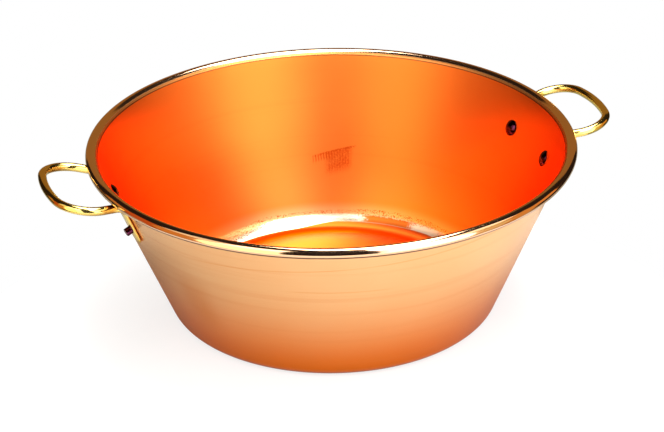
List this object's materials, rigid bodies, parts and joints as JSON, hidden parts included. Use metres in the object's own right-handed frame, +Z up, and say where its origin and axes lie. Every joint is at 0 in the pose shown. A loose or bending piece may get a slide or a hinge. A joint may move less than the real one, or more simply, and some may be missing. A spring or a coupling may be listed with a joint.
{
  "type": "preserving pan",
  "caption": "Round spun-copper preserving pan with a sloping wall, a rim rolled over a wire and a riveted brass loop handle at each side.",
  "frame": {"origin": "centre of the flat underside", "axes": "+Z up; the two handles lie along X, so the front of the pan faces -Y"},
  "size_m": [0.4572, 0.38, 0.139],
  "materials": {
    "copper_sheet": "spun copper, polished, with fine turning lines",
    "steel_wire": "drawn wire, hidden in the rolled rim",
    "brass_rod": "polished brass",
    "dark_copper": "darkened copper, smooth"
  },
  "bodies": {
    "root": {"bowl": "copper_sheet", "rim_wire": "steel_wire", "handle_left": "brass_rod", "handle_right": "brass_rod", "rivet_left_front": "dark_copper", "rivet_left_rear": "dark_copper", "rivet_right_front": "dark_copper", "rivet_right_rear": "dark_copper"}
  },
  "joints": []
}
